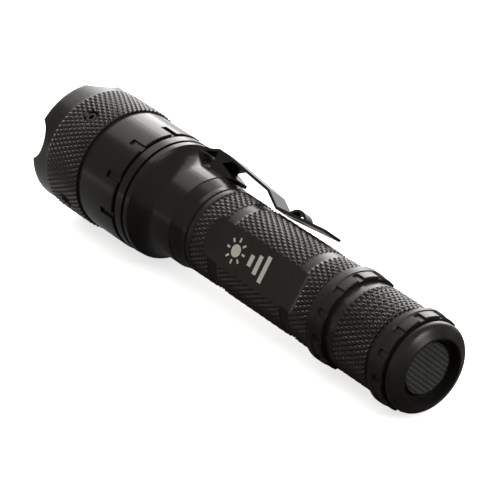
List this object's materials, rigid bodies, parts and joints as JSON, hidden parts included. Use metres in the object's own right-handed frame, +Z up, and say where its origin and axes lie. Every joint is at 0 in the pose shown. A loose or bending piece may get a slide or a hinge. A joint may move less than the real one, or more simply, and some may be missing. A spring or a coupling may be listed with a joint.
{
  "type": "tactical flashlight",
  "caption": "Tail-switch tactical torch: knurled battery tube with milled flats, slotted tail cap, flared head, scalloped strike bezel and a sprung pocket clip.",
  "frame": {"origin": "centre of the flat land round the tail recess, on the optical axis", "axes": "+X along the optical axis from the tail to the crown, +Z up with the light lying on its side and the pocket clip 43 degrees from up towards -Y, +Y completes the right-handed set"},
  "size_m": [0.1517, 0.0364, 0.0364],
  "materials": {
    "black_anodised": "satin hard-anodised",
    "black_boot_rubber": "matt",
    "seal_rubber": "satin",
    "bright_steel": "satin",
    "black_steel": "satin black coating",
    "screw_steel": "machined",
    "spring_steel": "plated",
    "gold_contact": "gold plated",
    "brass": "turned",
    "grey_plastic": "matt",
    "white_plastic": "matt",
    "black_plastic": "matt",
    "green_board": "solder mask",
    "white_board": "solder mask",
    "pill_aluminium": "turned",
    "reflector_mirror": "vapour coated",
    "lens_glass": "polished",
    "dome_silicone": "clear silicone over yellow phosphor",
    "cell_wrap": "shrink sleeve",
    "cell_steel": "nickel plated",
    "cell_paper": "fibre washer",
    "copper_wire": "silicone insulation",
    "ferrite": "ferrite"
  },
  "bodies": {
    "tube_group": {"battery_tube": "black_anodised", "rear_o_ring": "seal_rubber", "front_o_ring": "seal_rubber", "battery_cell": "cell_wrap", "cell_insulator": "cell_paper", "cell_positive_cap": "cell_steel"},
    "tail_carriage": {"boot_washer": "bright_steel", "switch_carrier": "black_plastic"},
    "tail_group": {"tail_cap": "black_anodised", "switch_boot": "black_boot_rubber", "switch_body": "grey_plastic", "switch_board": "green_board", "switch_retainer": "brass", "tail_spring": "gold_contact", "return_spring": "spring_steel"},
    "button_group": {"switch_plunger": "white_plastic"},
    "head_carriage": {"reflector": "reflector_mirror", "lens": "lens_glass", "lens_gasket": "seal_rubber", "bezel_o_ring": "seal_rubber", "led_dome": "dome_silicone"},
    "head_group": {"head_body": "black_anodised", "pill": "pill_aluminium", "driver_board": "green_board", "driver_chip": "black_plastic", "driver_coil": "ferrite", "driver_spring": "gold_contact", "led_wires": "copper_wire", "led_board": "white_board", "led_emitter": "cell_paper", "centring_ring": "white_plastic", "strike_bezel": "black_anodised", "bezel_set_screws": "screw_steel", "clip_saddle": "black_anodised", "clip_base": "black_steel", "clip_screws": "screw_steel"},
    "clip_group": {"clip_arm": "black_steel"}
  },
  "joints": [
    {"name": "tail_travel", "type": "slide", "parent": "tube_group", "child": "tail_carriage", "axis": [-1, 0, 0], "range_m": [0, 0.0075]},
    {"name": "tail_turn", "type": "hinge", "parent": "tail_carriage", "child": "tail_group", "pos_m": [0, 0, 0], "axis": [-1, 0, 0], "range_deg": [0, 2160]},
    {"name": "button_press", "type": "slide", "parent": "tail_group", "child": "button_group", "axis": [1, 0, 0], "range_m": [0, 0.0016], "stiffness_N_per_m": 2500, "deforming": ["switch_boot", "return_spring"]},
    {"name": "head_travel", "type": "slide", "parent": "tube_group", "child": "head_carriage", "axis": [1, 0, 0], "range_m": [0, 0.0075]},
    {"name": "head_turn", "type": "hinge", "parent": "head_carriage", "child": "head_group", "pos_m": [0.1, 0, 0], "axis": [1, 0, 0], "range_deg": [0, 2160]},
    {"name": "clip_flex", "type": "hinge", "parent": "head_group", "child": "clip_group", "pos_m": [0.09436, -0.01242, 0.01332], "axis": [0, 0.7314, 0.682], "range_deg": [0, 4], "stiffness_Nm_per_rad": 3}
  ],
  "couplings": [
    {"joint": "tail_turn", "follows": "tail_travel", "rad_per_m": 5026.5},
    {"joint": "head_turn", "follows": "head_travel", "rad_per_m": 5026.5}
  ]
}
